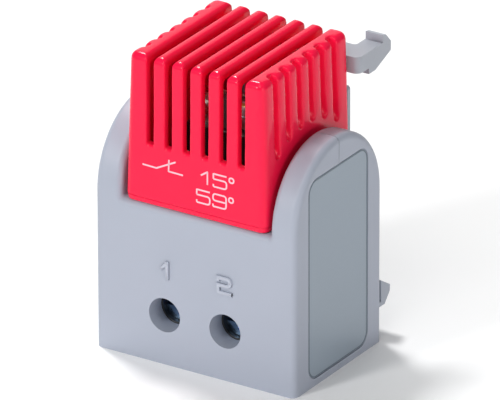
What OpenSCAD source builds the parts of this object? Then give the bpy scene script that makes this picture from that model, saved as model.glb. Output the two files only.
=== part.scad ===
// Small fixed thermostat for a 35 mm mounting rail.
// The origin is the middle of the flat base, +X to the right, +Y towards the rail, +Z up.

/* [Housing] */
// Width of the housing
body_w = 33; // [32:0.5:40]
// Depth of the housing, from its front face to its rail face
body_d = 23; // [23:0.5:28]
// Radius along the front and ear edges
edge_r = 1; // [0.4:0.1:1.4]
// Thickness of the side walls
side_wall = 1.6; // [1.2:0.1:1.9]
// Thickness of the front wall
front_wall = 1.8; // [1.4:0.1:2.2]
// Thickness of the bottom wall
floor_t = 1.8; // [1.2:0.1:2.4]
// Height of the deck that the cap stands on
deck_z = 23.8; // [22.5:0.1:26]
// Thickness of the deck
deck_t = 1.5; // [1:0.1:2]
// Radius in the lower corners between the ears
pocket_r = 0.3; // [0.2:0.1:1.2]
// Radius along the edges of the deck and the inner edges of the ears
pocket_edge_r = 1; // [0.2:0.1:1]
// Height of the raised numerals
numeral_h = 2.8; // [2:0.1:4]
// Line width of the raised numerals
numeral_line = 0.55; // [0.4:0.05:0.8]
// How far the numerals stand out
numeral_rise = 0.3; // [0.15:0.05:0.5]

/* [Cap] */
// Height of the cap above the deck
cap_h = 22.6; // [21:0.1:28]
// Room inside the cap's foot, beside the insulating column
cap_room = 2.3; // [1.8:0.1:2.6]
// Gap between the foot of the cap and each ear
cap_side_gap = 0.6; // [0.3:0.1:1.2]
// How far each side lies further in at the top than at the foot
cap_side_in = 0.6; // [0.2:0.1:0.9]
// How far the cap's front leans back from foot to top
cap_lean = 0.25; // [0:0.05:0.6]
// How far the cap's front lies behind the housing's front face
cap_front_in = 0.2; // [0.1:0.1:1]
// How far the cap's back lies in front of the rail face
cap_back_in = 0.2; // [0.1:0.1:0.6]
// Thickness of the cap's front and back walls
cap_wall = 1.3; // [1:0.1:1.6]
// Thickness of the cap's sides, which carry the blind grooves
cap_side_wall = 2; // [1.6:0.1:2.4]
// Distance between vent slots
fin_pitch = 3; // [2.8:0.1:3.4]
// Width of a vent slot
slot_w = 1.15; // [0.8:0.05:1.6]
// Height of the slots' lower ends above the deck
slot_up = 9.2; // [8:0.1:12]
// Radius of the cap's corners
cap_corner_r = 1.2; // [0.8:0.1:1.8]
// Width of a blind groove in the side
groove_w = 1.3; // [0.8:0.1:1.6]
// Distance between the blind grooves
groove_pitch = 3.05; // [2.6:0.05:3.4]
// Radius of the arc on which the grooves end
groove_arc_r = 13; // [12.5:0.1:14]

/* [Terminals] */
// Distance between the two terminals
term_pitch = 10; // [10:0.5:11]
// Diameter of the screwdriver holes
access_d = 5.15; // [5:0.05:6]
// Height of the terminal screws
access_z = 7.6; // [7:0.1:8.4]
// Length of the screwdriver holes
access_len = 3.2; // [2.8:0.1:3.6]
// Depth of the screw heads behind the front face
head_depth = 4.1; // [3.9:0.1:4.6]
// Diameter of a terminal screw's head
head_d = 4.6; // [4.2:0.1:5]
// Thickness of a terminal screw's head
head_t = 2; // [1.6:0.1:2.4]
// Thread diameter of a terminal screw
thread_d = 3.5; // [3:0.1:3.6]
// Travel of a clamp cage
clamp_travel = 2.2; // [1.6:0.1:2.4]
// Outer width of a clamp cage
cage_w = 6.4; // [6:0.1:6.8]
// Height of a clamp cage, along the wire
cage_h = 5; // [4.6:0.1:5.6]
// Thickness of a cage's threaded wall
cage_front_t = 1.8; // [1.4:0.1:2.2]
// Thickness of a cage's other walls
cage_wall = 1.2; // [0.8:0.1:1.2]
// Clear depth for the wire when the clamp is open
wire_space = 2.6; // [2.2:0.1:2.8]
// Diameter of a wire entry in the base
wire_entry_d = 3.6; // [2.6:0.1:4]
// Width of a terminal bar
bar_w = 3.6; // [3:0.1:3.6]
// Thickness of a terminal bar
bar_t = 1; // [0.8:0.1:1.2]

/* [Switch] */
// Height of the insulating column's top
column_z = 33.2; // [32:0.1:35]
// Height of the bimetal strip, on edge
strip_h = 3.8; // [3:0.1:4.2]
// Thickness of the bimetal strip
strip_t = 0.4; // [0.3:0.05:0.5]
// Gap between the open contacts
contact_gap = 0.5; // [0.4:0.05:0.7]
// Diameter of the contacts
contact_d = 2.4; // [2:0.1:2.8]
// Thickness of a contact
contact_t = 0.5; // [0.3:0.05:0.6]
// Thread diameter of the calibration screw
cal_d = 1.6; // [1.2:0.1:2]

/* [Rail latch] */
// Width of the mounting rail
rail_h = 35; // [34.5:0.5:36]
// Height of the fixed hook's floor above the base
hook_z = 5.1; // [5:0.1:7]
// Depth of the fixed hook's slot
hook_slot = 1.4; // [1.2:0.1:1.8]
// Thickness of the fixed hook's lip
hook_lip = 2.4; // [1.4:0.1:2.6]
// Width of the fixed hook
hook_w = 31; // [26:0.5:32]
// Width of the latch jaw
jaw_w = 25.2; // [22:0.2:26]
// Height of the latch jaw
jaw_t = 2.5; // [1.8:0.1:2.7]
// Reach of the latch tooth below the jaw
tooth_h = 0.9; // [0.6:0.1:1.3]
// Travel of the latch
latch_travel = 1.6; // [1.2:0.1:2]
// Width of the release arm
arm_w = 2.85; // [2.4:0.05:4]
// How far the release arm reaches behind the rail face
arm_reach = 8.5; // [7:0.1:10]
// Width of the latch's stem
stem_w = 11.4; // [10:0.2:12]
// Outer diameter of a latch spring
spring_d = 1.8; // [1.6:0.1:1.8]
// Wire diameter of a latch spring
spring_wire = 0.35; // [0.3:0.05:0.4]
// Length of a latch spring
spring_len = 7.4; // [6.6:0.1:8]

/* [Label and fasteners] */
// Width of the side label
label_w = 15.4; // [12:0.1:16]
// Height of the side label
label_h = 30.3; // [26:0.1:30.5]
// Corner radius of the side label
label_r = 2; // [1:0.1:3]
// Thickness of the side label
label_t = 0.15; // [0.1:0.05:0.2]
// Thread diameter of the cover screws
cover_screw_d = 2; // [1.6:0.1:2.2]
// Head diameter of the cover screws
cover_head_d = 3.4; // [3:0.1:3.8]

/* [Hidden] */
$fn = 48;

// clearances and overruns
over = 1;            // overrun of a cut past a face
fit = 0.1;           // loose fit of fixed pieces
run = 0.08;          // radial running fit of a screw
slide = 0.05;        // sliding fit of the latch, bars and strip
free = 0.2;          // clearance beside a moving piece

// faces of the housing
half_w = body_w / 2;
front_y = -body_d / 2;
back_y = body_d / 2;
ear_r = body_d / 2;
ear_z = deck_z + pocket_r; // the ears round off from here
inner_x = half_w - side_wall;
inner_y = front_y + front_wall;
column_side = 0.6;   // wall of the insulating column beside a bar
column_x = term_pitch / 2 + bar_w / 2 + column_side;
cap_x = column_x + cap_room + cap_side_wall;
pocket_x = cap_x + cap_side_gap;
ear_skin = 1.2;      // inner skin of a hollow ear
deck_low = deck_z - deck_t;

// rear cover
cover_t = 1.6;
cover_y = back_y - cover_t;
cover_x = inner_x - fit;
cover_top = deck_low - fit;
tongue_w_share = 0.68;
tongue_x = tongue_w_share * half_w;
tongue_margin_t = 0.75;
tongue_bevel = 0.3;
hook_lip_rise = 3.3;
hook_floor_t = 0.7;
hook_bevel = 1.5;
hook_low_in = 1.4;
hook_low_rise = 0.9;
jaw_preload = 0.25;
jaw_low = hook_z + rail_h - jaw_preload;
rail_flange_w = 2.5;  // bearing of the rail's flange below the jaw's floor
tongue_top = jaw_low - rail_flange_w + jaw_preload * 2;

// latch
wing_t = 0.5;        // thickness of the stem's guided wings
core_in = 1;         // how far the stem's core lies inside its wings
stem_t = 1.05;
stem_y = back_y - stem_t - fit;
channel_y = stem_y - slide;
stem_low = 12.2;
foot_h = 2;
spring_z = stem_low + foot_h;
spring_top = spring_z + spring_len;
spring_pitch_x = 3.6;
spring_y = stem_y;
window_w = spring_pitch_x + spring_d + 2 * free;
tooth_reach = 2.65;  // from the rail face to the tooth's front
jaw_reach = 3.8;     // from the rail face to the jaw's back
tooth_back_reach = 4.4;
tooth_y = back_y + tooth_reach;
jaw_back = back_y + jaw_reach;
tooth_back = back_y + tooth_back_reach;
arm_end = back_y + arm_reach;
arm_x = jaw_w / 2;
lip_rise = 1.15;
lip_t = 0.8;
lip_inset = 0.3;
lip_slope = 0.15;
arm_end_t = 1.05;
arm_end_drop = 0.45;
arm_low_rise = 0.65;
jaw_r = 1;
neck_fillet = 0.5;
spine_side = 1.5;    // wall beside the stem's channel
spine_depth = 1.4;   // how far the spine stands out from the cover's inner face
upper_spine_depth = 0.6;
spine_x = stem_w / 2 + spine_side;
spine_y = cover_y - spine_depth;
spine_low = 11;
upper_spine_y = cover_y - upper_spine_depth;

// cap
deck_gap = 0.1;
cap_z = deck_z + deck_gap;
cap_top = deck_z + cap_h;
cap_front = front_y + cap_front_in;
cap_back = back_y - cap_back_in;
jaw_gap = 0.15;      // between the cap's back and the latch jaw
jaw_y = cap_back + jaw_gap;
cap_back_wall = 1.5;
cap_in_back = upper_spine_y - free - cap_back_wall;
cap_top_wall = 1.5;
channel_x = spine_x + free;
recess_side_gap = 0.5;
recess_top_gap = 0.6;
stem_top_gap = 0.4;  // left above the open latch
stem_channel_x = stem_w / 2 + recess_side_gap;
cap_recess_top = tongue_top + recess_top_gap;
stem_recess_top = jaw_low + jaw_t + latch_travel + stem_top_gap;
slots = 6;
foot_band = 0.8;     // height of the bevelled band round the cap's foot
foot_in = 0.12;      // how far the band leans in
slot_scoop = 0.5;    // lead-in at the foot of each slot
groove_depth = 0.75;
groove_top_depth = 0.6; // of the grooves' slanted ends on the cap's top edge
skirt_t = 1;
skirt_in = 2.1;      // how far the skirt lies inside the cap's foot
skirt_fit = 0.15;
skirt_x = cap_x - skirt_in;
skirt_front = front_y + access_len;
skirt_back = spine_y - free - fit;
skirt_len = 2.7;
snap_t = 0.6;
snap_h = 0.8;
snap_w = 6;
deck_open_x = skirt_x + skirt_fit;

// terminals
head_y = front_y + head_depth;
head_back = head_y + head_t;
cage_y = head_back + clamp_travel + free;
bar_y = cage_y + cage_front_t + free;
bar_back = bar_y + bar_t;
cage_in_back = bar_back + wire_space;
cage_back = cage_in_back + cage_wall;
wire_y = bar_back + wire_space / 2;
cage_side_gap = 0.3;
cage_back_gap = 0.4;
cage_top_gap = 0.6;
chamber_w = cage_w + 2 * cage_side_gap;
chamber_back = cage_back + cage_back_gap;
chamber_top = access_z + cage_h / 2 + cage_top_gap;
block_wall = 1.2;
block_x = term_pitch / 2 + chamber_w / 2 + block_wall;
block_roof = 1.4;
block_top = chamber_top + block_roof;
block_front = front_y + access_len + fit;
block_back = chamber_back + block_wall;
access_wall = 1.4;
boss_d = access_d + 2 * access_wall;
drive_slot_w = 0.8;
drive_depth = 1.1;
cross_len = 3;
shelf_z = 16;
shelf_t = 1.4;
column_wall = 1.2;   // wall before and behind a bar
bar_below = 0.9;     // how far a bar reaches below its cage
column_front = bar_y - column_wall;
column_back = bar_back + column_wall;
bar_low = access_z - cage_h / 2 - bar_below;

// switch
strip_lift = 0.4;    // gap between the column and the strip
strip_z = column_z + strip_lift;
strip_mid = strip_z + strip_h / 2;
strip_y = bar_back + 2 * contact_t + contact_gap;
strip_back = strip_y + strip_t;
strip_grip = 1;
hinge_in = 0.7;
hinge_x = term_pitch / 2 - bar_w / 2 + hinge_in;
strip_root_x = hinge_x + strip_grip / 2;
strip_end = 2.2;     // from the contact to the strip's tip
strip_tip_x = -term_pitch / 2 - strip_end;
clamp_x = hinge_x - strip_grip / 2;
clamp_end_x = term_pitch / 2 + bar_w / 2;
clamp_wall = 1.1;
flag_len = 2.8;      // from the clamp to the flag's end
clamp_back = strip_back + clamp_wall;
flag_x = clamp_x - flag_len;
rivet_d = 1.2;
rivet_head_d = 2;
rivet_head_t = 0.4;
rivet_pitch = 1.9;
rivet_x = (strip_root_x + slide + clamp_end_x) / 2;
magnet_x = -1.7;
magnet_w = 1.8;
magnet_t = 1.8;
magnet_gap = 0.4;
magnet_seat = 0.8;
armature_t = 0.3;
armature_w = 2.2;
magnet_y = strip_y - armature_t - magnet_gap - magnet_t;
contact_shank_d = 1.2;
cal_in = 1.3;
cal_up = 0.8;
cal_x = flag_x + cal_in;
cal_z = strip_mid + cal_up;
cal_head_d = 2.4;
cal_head_t = 0.8;
cal_slot_w = 0.35;
nut_af = 2.6;
nut_t = 0.7;
cal_tip_gap = 0.2;

// cover screws
cover_screw_len = 3.9; // from the cover's inner face to the tip
cover_screw_down = 2; // from the deck's underside to the upper screws
cover_boss_wall = 1.1;
cover_boss_end = 0.4;
cover_screw_z = [stem_low, deck_low - cover_screw_down];
cover_boss_d = cover_screw_d + 2 * cover_boss_wall;
cover_screw_x = inner_x - cover_boss_d / 2 - fit;
cover_boss_y = cover_y - cover_screw_len - cover_boss_end;
countersink_t = 1;

// label
label_y = -0.1;
label_low = 1.2;
label_gap = 0.15;
label_recess = 0.2;

// numerals
numeral_up = 3.1;    // from the hole's edge to the numeral
numeral_z = access_z + access_d / 2 + numeral_up;
flag_share = 0.38;
numeral_w_share = 0.9;
numeral_hook_share = 0.28;

module rounded_rect(w, h, r) {
    square([w - 2 * r, h], center = true);
    square([w, h - 2 * r], center = true);
    for (x = [-1, 1], y = [-1, 1])
        translate([x * (w / 2 - r), y * (h / 2 - r)]) circle(r);
}

// an outline in Y and Z, extruded along X from x0 to x1
module along_x(x0, x1)
    translate([x0, 0, 0]) rotate([90, 0, 90]) linear_extrude(x1 - x0) children();

// an outline in X and Z, extruded along Y from y0 to y1
module along_y(y0, y1)
    translate([0, y1, 0]) rotate([90, 0, 0]) linear_extrude(y1 - y0) children();

// a box given by its lowest and highest corners
module block(a, b) translate(a) cube(b - a);

// a round bar or hole along Y
module rod_y(x, z, y0, y1, d) translate([x, y0, z]) rotate([-90, 0, 0]) cylinder(h = y1 - y0, d = d);

// the same box on both sides of the middle
module both_sides() {
    children();
    mirror([1, 0, 0]) children();
}

module ear_disc() {
    translate([0, 0, ear_z]) rotate([0, 90, 0]) rotate_extrude() {
        translate([0, -half_w]) square([ear_r - edge_r, body_w]);
        translate([0, edge_r - half_w]) square([ear_r, body_w - 2 * edge_r]);
        for (s = [-1, 1])
            translate([ear_r - edge_r, s * (half_w - edge_r)]) circle(edge_r);
    }
}

module body_block() {
    linear_extrude(ear_z) rounded_rect(body_w, body_d, edge_r);
    ear_disc();
}

// the space between the ears, above the deck
module pocket() {
    along_y(front_y - over, back_y + over) {
        translate([-pocket_x, deck_z + pocket_r]) square([2 * pocket_x, ear_r + ear_z]);
        translate([pocket_r - pocket_x, deck_z]) square([2 * (pocket_x - pocket_r), 2 * pocket_r]);
        for (s = [-1, 1])
            translate([s * (pocket_x - pocket_r), deck_z + pocket_r]) circle(pocket_r);
    }
}

// what rounding takes off a square edge whose corner is at the origin
module edge_cut(r) difference() {
    translate([-r, -r]) square(r + over);
    translate([-r, -r]) circle(r);
}

// rounds the edges that the pocket leaves on the deck, its corners and the ears
module pocket_edges() {
    corner_x = pocket_x - pocket_r;
    for (m = [0, 1]) mirror([0, m, 0]) {
        along_x(-corner_x, corner_x) translate([front_y, deck_z]) mirror([1, 0]) edge_cut(pocket_edge_r);
        both_sides() translate([corner_x, front_y, ear_z]) rotate([90, 90, 0])
            rotate_extrude(angle = 90) difference() {
                translate([0, -pocket_edge_r]) square([pocket_r + pocket_edge_r, pocket_edge_r + over]);
                translate([pocket_r + pocket_edge_r, -pocket_edge_r]) circle(pocket_edge_r);
            }
    }
    both_sides() intersection() {
        translate([0, 0, ear_z]) rotate([0, 90, 0])
            rotate_extrude() translate([ear_r, pocket_x]) mirror([0, 1]) edge_cut(pocket_edge_r);
        block([0, front_y - over, ear_z], [half_w, back_y + over, ear_z + ear_r + over]);
    }
}

module ear_hollow() {
    along_x(pocket_x + ear_skin, inner_x) {
        translate([inner_y, deck_low - over]) square([-2 * inner_y, ear_z - deck_low + over]);
        translate([0, ear_z]) circle(ear_r - front_wall);
    }
}

module cover_bosses(d, y0, y1)
    for (s = [-1, 1], z = cover_screw_z) rod_y(s * cover_screw_x, z, y0, y1, d);

// numeral 1: an upright line and a slanted flag
module numeral_one() {
    translate([0, numeral_h / 2]) square([numeral_line, numeral_h], center = true);
    polygon([[0, numeral_h], [-flag_share * numeral_h, numeral_h - flag_share * numeral_h],
             [-flag_share * numeral_h, numeral_h - flag_share * numeral_h - numeral_line],
             [0, numeral_h - numeral_line]]);
}

// numeral 2 in a square style, its upper bow rounded
module numeral_two() {
    w = numeral_w_share * numeral_h;
    r = numeral_h / 4 + numeral_line / 4;
    mid = numeral_h / 2 - numeral_line / 2;
    square([w, numeral_line]);
    square([numeral_line, numeral_h / 2]);
    translate([0, mid]) square([w - r, numeral_line]);
    translate([0, numeral_h - numeral_line]) square([w - r, numeral_line]);
    translate([0, (1 - numeral_hook_share) * numeral_h])
        square([numeral_line, numeral_hook_share * numeral_h]);
    translate([w - r, numeral_h - r]) intersection() {
        difference() {
            circle(r);
            circle(r - numeral_line);
        }
        translate([0, -r]) square([r, 2 * r]);
    }
}

module numerals() {
    along_y(front_y - numeral_rise, front_y + edge_r) {
        translate([-term_pitch / 2 + numeral_line, numeral_z]) numeral_one();
        translate([term_pitch / 2 - numeral_w_share * numeral_h / 2, numeral_z]) numeral_two();
    }
}

module housing() color([0.72, 0.75, 0.79]) {
    difference() {
        union() {
            difference() {
                body_block();
                pocket();
                pocket_edges();
                block([-inner_x, inner_y, floor_t], [inner_x, back_y + over, deck_low]);
                both_sides() ear_hollow();
            }
            for (s = [-1, 1])
                rod_y(s * term_pitch / 2, access_z, front_y + edge_r, front_y + access_len, boss_d);
            cover_bosses(cover_boss_d, cover_boss_y, cover_y - fit);
            both_sides() for (z = cover_screw_z)
                block([cover_screw_x, cover_boss_y, z - cover_boss_d / 2],
                      [inner_x + side_wall / 2, cover_y - fit, z + cover_boss_d / 2]);
            numerals();
        }
        for (s = [-1, 1]) {
            rod_y(s * term_pitch / 2, access_z, front_y - over, front_y + access_len + over, access_d);
            translate([s * term_pitch / 2, wire_y, -over])
                cylinder(h = floor_t + 2 * over, d = wire_entry_d);
        }
        cover_bosses(cover_screw_d + 2 * slide, cover_y - cover_screw_len, back_y);
        block([-deck_open_x, skirt_front - skirt_fit, deck_low - over],
              [deck_open_x, back_y + over, deck_z + over]);
        block([-tongue_x - fit, upper_spine_y - free, deck_low - over],
              [tongue_x + fit, back_y + over, deck_z + over]);
        translate([half_w - label_recess, label_y, label_low + label_h / 2]) rotate([90, 0, 90])
            linear_extrude(label_recess + over)
                rounded_rect(label_w + 2 * label_gap, label_h + 2 * label_gap, label_r + label_gap);
    }
}

// the fixed hook's outline: slot, lip with a lead-in, slanted lower face
module hook_outline() {
    lip_y = back_y + hook_slot;
    end_y = lip_y + hook_lip;
    polygon([[back_y, hook_z - hook_floor_t], [end_y - hook_low_in, hook_z - hook_floor_t],
             [end_y, hook_z + hook_low_rise], [end_y, hook_z + hook_lip_rise - hook_bevel],
             [lip_y, hook_z + hook_lip_rise], [lip_y, hook_z], [back_y, hook_z]]);
}

module tongue_outline() {
    polygon([[-tongue_x, cover_top - over], [tongue_x, cover_top - over], [tongue_x, tongue_top - tongue_bevel],
             [tongue_x - tongue_bevel, tongue_top], [tongue_bevel - tongue_x, tongue_top],
             [-tongue_x, tongue_top - tongue_bevel]]);
}

module rear_cover() color([0.68, 0.70, 0.74]) {
    difference() {
        union() {
            block([-cover_x, cover_y, floor_t + fit], [cover_x, back_y, cover_top]);
            along_y(back_y - tongue_margin_t, back_y) tongue_outline();
            block([-spine_x, spine_y, spine_low], [spine_x, back_y, cover_top]);
            block([-spine_x, upper_spine_y, cover_top - over], [spine_x, back_y, tongue_top]);
            along_x(-hook_w / 2, hook_w / 2) hook_outline();
            block([-cover_x, cover_y, hook_z - hook_floor_t / 2],
                  [cover_x, back_y + hook_slot / 2, hook_z]);
        }
        block([-stem_w / 2 - slide, channel_y, stem_low - free],
              [stem_w / 2 + slide, stem_y + wing_t + slide, tongue_top + over]);
        block([core_in - stem_w / 2 - slide, channel_y, stem_low - free],
              [stem_w / 2 - core_in + slide, back_y + over, tongue_top + over]);
        block([-window_w / 2, spring_y - spring_d / 2 - slide, spring_z],
              [window_w / 2, back_y, spring_top]);
        cover_bosses(cover_screw_d + 2 * fit, cover_y - over, back_y);
        for (s = [-1, 1], z = cover_screw_z)
            translate([s * cover_screw_x, back_y - slide, z]) rotate([90, 0, 0]) {
                cylinder(h = countersink_t, d1 = cover_head_d + 2 * fit, d2 = cover_screw_d + 2 * fit);
                translate([0, 0, -over]) cylinder(h = over, d = cover_head_d + 2 * fit);
            }
    }
}

// the cap's outline in plan at a height, between its foot and its top
function cap_half_x(z) = cap_x - cap_side_in * (z - cap_z) / (cap_top - cap_z);

// one drafted shell form, shrunk from the cap's outer faces by the given amounts
module cap_form(dx, front, back, low, high, r) {
    x0 = cap_half_x(low) - dx;
    x1 = cap_half_x(high) - dx;
    mid = (front + back) / 2;
    hull() {
        for (f = [[foot_in, 0], [0, foot_band]]) translate([0, mid, low + f[1]]) linear_extrude(r / 4)
            rounded_rect(2 * (x0 - f[0]), back - front - 2 * f[0], r);
        for (s = [-1, 1], y = [front + cap_lean + r, back - r])
            translate([s * (x1 - r), y, high - r]) sphere(r, $fn = 32);
    }
}

module vent_slots() {
    for (i = [0 : slots - 1]) {
        x = (i - (slots - 1) / 2) * fin_pitch;
        along_x(x - slot_w / 2, x + slot_w / 2) {
            translate([cap_front - over, deck_z + slot_up])
                square([cap_back - cap_front + 2 * over, cap_h]);
            translate([cap_front, deck_z + slot_up]) rotate(45) square(slot_scoop, center = true);
        }
    }
}

// takes the corners off the fins, so that each top is half round
module fin_tops() {
    r = (fin_pitch - slot_w) / 2;
    along_y(cap_front - over, cap_back + over) difference() {
        translate([-slots / 2 * fin_pitch, cap_top - r]) square([slots * fin_pitch, r + over]);
        for (i = [0 : slots]) translate([(i - slots / 2) * fin_pitch, cap_top - r]) circle(r);
    }
}

module side_grooves() {
    out = (cap_corner_r + groove_w / 2 - groove_top_depth) * sin(45);
    edge_x = cap_half_x(cap_top) - cap_corner_r + out;
    edge_z = cap_top - cap_corner_r + out;
    for (i = [0 : slots - 1]) {
        y = (i - (slots - 1) / 2) * groove_pitch;
        low = ear_z + sqrt(pow(groove_arc_r, 2) - pow(y, 2));
        translate([cap_half_x(low) + groove_w / 2 - groove_depth, y, low]) {
            sphere(d = groove_w, $fn = 24);
            rotate([0, -atan(cap_side_in / (cap_top - cap_z)), 0])
                cylinder(h = cap_top - low + over, d = groove_w);
        }
        translate([edge_x, y, edge_z]) rotate([0, -45, 0])
            cylinder(h = 4 * cap_corner_r, d = groove_w, center = true);
    }
}

module vent_cap() color([0.93, 0.13, 0.25]) {
    difference() {
        union() {
            difference() {
                cap_form(0, cap_front, cap_back, cap_z, cap_top, cap_corner_r);
                // recess behind, for the tongue and the stem of the latch
                block([-cap_x - over, back_y - tongue_margin_t - slide, deck_z],
                      [cap_x + over, back_y, cap_recess_top]);
                block([-channel_x, upper_spine_y - free, deck_z], [channel_x, back_y, cap_recess_top]);
                block([-stem_channel_x, upper_spine_y - free, deck_z],
                      [stem_channel_x, back_y, stem_recess_top]);
                both_sides() side_grooves();
            }
            block([-skirt_x, skirt_front, deck_z - skirt_len], [skirt_x, skirt_back, cap_z + over]);
            both_sides() block([skirt_x - over, -snap_w / 2, deck_z - skirt_len],
                               [skirt_x + snap_t, snap_w / 2, deck_z - skirt_len + snap_h]);
        }
        cap_form(cap_side_wall, cap_front + cap_wall, cap_in_back, cap_z, cap_top - cap_top_wall,
                 cap_corner_r / 2);
        block([skirt_t - skirt_x, skirt_front + skirt_t, deck_z - skirt_len - over],
              [skirt_x - skirt_t, skirt_back - skirt_t, cap_z + 2 * over]);
        vent_slots();
        fin_tops();
    }
}

module side_label() color([0.58, 0.63, 0.68])
    translate([half_w - label_recess, label_y, label_low + label_h / 2]) rotate([90, 0, 90])
        linear_extrude(label_t) rounded_rect(label_w, label_h, label_r);

// side view of the release arm with its raised lip and slanted underside
module arm_outline() {
    top = jaw_low + jaw_t;
    lip_y = arm_end - arm_end_t - lip_t - lip_inset;
    polygon([[jaw_y + jaw_r, jaw_low], [tooth_y, jaw_low], [tooth_y, jaw_low - tooth_h],
             [tooth_back, jaw_low - tooth_h], [arm_end, jaw_low + arm_low_rise],
             [arm_end, top - arm_end_drop], [lip_y + lip_t, top + lip_rise - lip_slope],
             [lip_y, top + lip_rise], [lip_y, top], [jaw_y + jaw_r, top]]);
}

module rail_latch() color([0.70, 0.72, 0.76]) {
    top = jaw_low + jaw_t;
    difference() {
        union() {
            // jaw with rounded front corners and a full-width tooth
            translate([0, (jaw_y + jaw_back) / 2, jaw_low]) linear_extrude(jaw_t)
                rounded_rect(jaw_w, jaw_back - jaw_y, jaw_r);
            block([-arm_x, tooth_y, jaw_low - tooth_h], [arm_x - arm_w / 2, jaw_back, jaw_low + jaw_t / 2]);
            along_x(arm_x - arm_w, arm_x) arm_outline();
            // concave corner between the jaw and the arm
            difference() {
                block([arm_x - arm_w - neck_fillet, jaw_back - neck_fillet, jaw_low],
                      [arm_x - arm_w / 2, jaw_back + neck_fillet, top]);
                translate([arm_x - arm_w - neck_fillet, jaw_back + neck_fillet, jaw_low - over])
                    cylinder(h = jaw_t + 2 * over, r = neck_fillet);
            }
            // stem: a core between two guided wings, thickened forward under the jaw
            block([-stem_w / 2, stem_y, stem_low], [stem_w / 2, stem_y + wing_t, top]);
            block([core_in - stem_w / 2, stem_y, stem_low], [stem_w / 2 - core_in, stem_y + stem_t, top]);
            block([-stem_w / 2, stem_y, jaw_low], [stem_w / 2, jaw_y + jaw_r, top]);
        }
        block([-window_w / 2, stem_y - over, spring_z],
              [window_w / 2, back_y + over, spring_top + latch_travel]);
    }
}

// one open coil: rings of points around a helix, joined by quads cut into triangles
spring_turns = 7;
spring_steps = 8;
wire_sides = 6;
spring_seat = 0.03;  // gap at each end of the spring
spring_end = spring_wire / 2 + spring_seat;
function coil_point(i) =
    let (a = 360 * i / spring_steps, r = (spring_d - spring_wire) / 2,
         t = i / (spring_turns * spring_steps))
    [r * cos(a), r * sin(a), spring_end + t * (spring_len - 2 * spring_end)];
function coil_ring(i) =
    let (a = 360 * i / spring_steps, p = coil_point(i))
    [for (k = [0 : wire_sides - 1])
        let (b = 360 * k / wire_sides, o = spring_wire / 2 * cos(b))
        [p[0] + o * cos(a), p[1] + o * sin(a), p[2] + spring_wire / 2 * sin(b)]];
module coil() {
    n = spring_turns * spring_steps;
    points = [for (i = [0 : n]) each coil_ring(i)];
    sides = [for (i = [0 : n - 1], k = [0 : wire_sides - 1])
        let (a = i * wire_sides + k, b = i * wire_sides + (k + 1) % wire_sides)
        each [[a, a + wire_sides, b], [b, a + wire_sides, b + wire_sides]]];
    caps = [[for (k = [0 : wire_sides - 1]) k], [for (k = [wire_sides - 1 : -1 : 0]) n * wire_sides + k]];
    polyhedron(points = points, faces = concat(sides, caps));
}
// least gap between points of the coil half a turn or more apart
echo(coil_gap = min([for (i = [0 : spring_steps], j = [i + spring_steps / 2 : 2 * spring_steps])
    norm(coil_point(j) - coil_point(i))]) - spring_wire);

module latch_springs() color("silver")
    for (s = [-1, 1]) translate([s * spring_pitch_x / 2, spring_y, spring_z]) coil();

module cover_screws() color("silver")
    for (s = [-1, 1], z = cover_screw_z) difference() {
        union() {
            translate([s * cover_screw_x, back_y - slide, z]) rotate([90, 0, 0])
                cylinder(h = countersink_t, d1 = cover_head_d, d2 = cover_screw_d);
            rod_y(s * cover_screw_x, z, cover_y - cover_screw_len + fit, back_y - countersink_t / 2,
                  cover_screw_d);
        }
        for (w = [[1, 0], [0, 1]])
            translate([s * cover_screw_x, back_y, z])
                cube([w[0] * cross_len / 2 + cal_slot_w, countersink_t, w[1] * cross_len / 2 + cal_slot_w],
                     center = true);
    }

module carrier() color([0.13, 0.13, 0.14]) {
    difference() {
        union() {
            block([-block_x, block_front, floor_t], [block_x, block_back, block_top]);
            block([-column_x, column_front, block_top - over], [column_x, column_back, column_z]);
            block([fit - inner_x, inner_y + fit, shelf_z],
                  [inner_x - fit, spine_y - fit, shelf_z + shelf_t]);
        }
        for (s = [-1, 1]) {
            block([s * term_pitch / 2 - chamber_w / 2, head_back, floor_t - over],
                  [s * term_pitch / 2 + chamber_w / 2, chamber_back, chamber_top]);
            rod_y(s * term_pitch / 2, access_z, block_front - over, head_back + over, head_d + 2 * run);
            block([s * term_pitch / 2 - bar_w / 2 - slide, bar_y - slide, bar_low],
                  [s * term_pitch / 2 + bar_w / 2 + slide, bar_back + slide, column_z + over]);
        }
        block([magnet_x - magnet_w / 2 - slide, magnet_y - slide, column_z - magnet_seat],
              [magnet_x + magnet_w / 2 + slide, magnet_y + magnet_t + slide, column_z + over]);
    }
}

module terminal_screw(s) color([0.55, 0.60, 0.66])
    difference() {
        union() {
            rod_y(s * term_pitch / 2, access_z, head_y, head_back, head_d);
            rod_y(s * term_pitch / 2, access_z, head_back - head_t / 2, bar_y - fit, thread_d);
        }
        translate([s * term_pitch / 2, head_y, access_z]) {
            cube([head_d + over, 2 * drive_depth, drive_slot_w], center = true);
            cube([drive_slot_w, 2 * drive_depth, cross_len], center = true);
        }
    }
module terminal_screw_1() terminal_screw(-1);
module terminal_screw_2() terminal_screw(1);

module clamp_cage(s) color([0.80, 0.80, 0.78])
    difference() {
        block([s * term_pitch / 2 - cage_w / 2, cage_y, access_z - cage_h / 2],
              [s * term_pitch / 2 + cage_w / 2, cage_back, access_z + cage_h / 2]);
        block([s * term_pitch / 2 - cage_w / 2 + cage_wall, cage_y + cage_front_t, access_z - cage_h],
              [s * term_pitch / 2 + cage_w / 2 - cage_wall, cage_in_back, access_z + cage_h]);
        rod_y(s * term_pitch / 2, access_z, cage_y - over, bar_y, thread_d + 2 * run);
    }
module clamp_cage_1() clamp_cage(-1);
module clamp_cage_2() clamp_cage(1);

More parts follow.
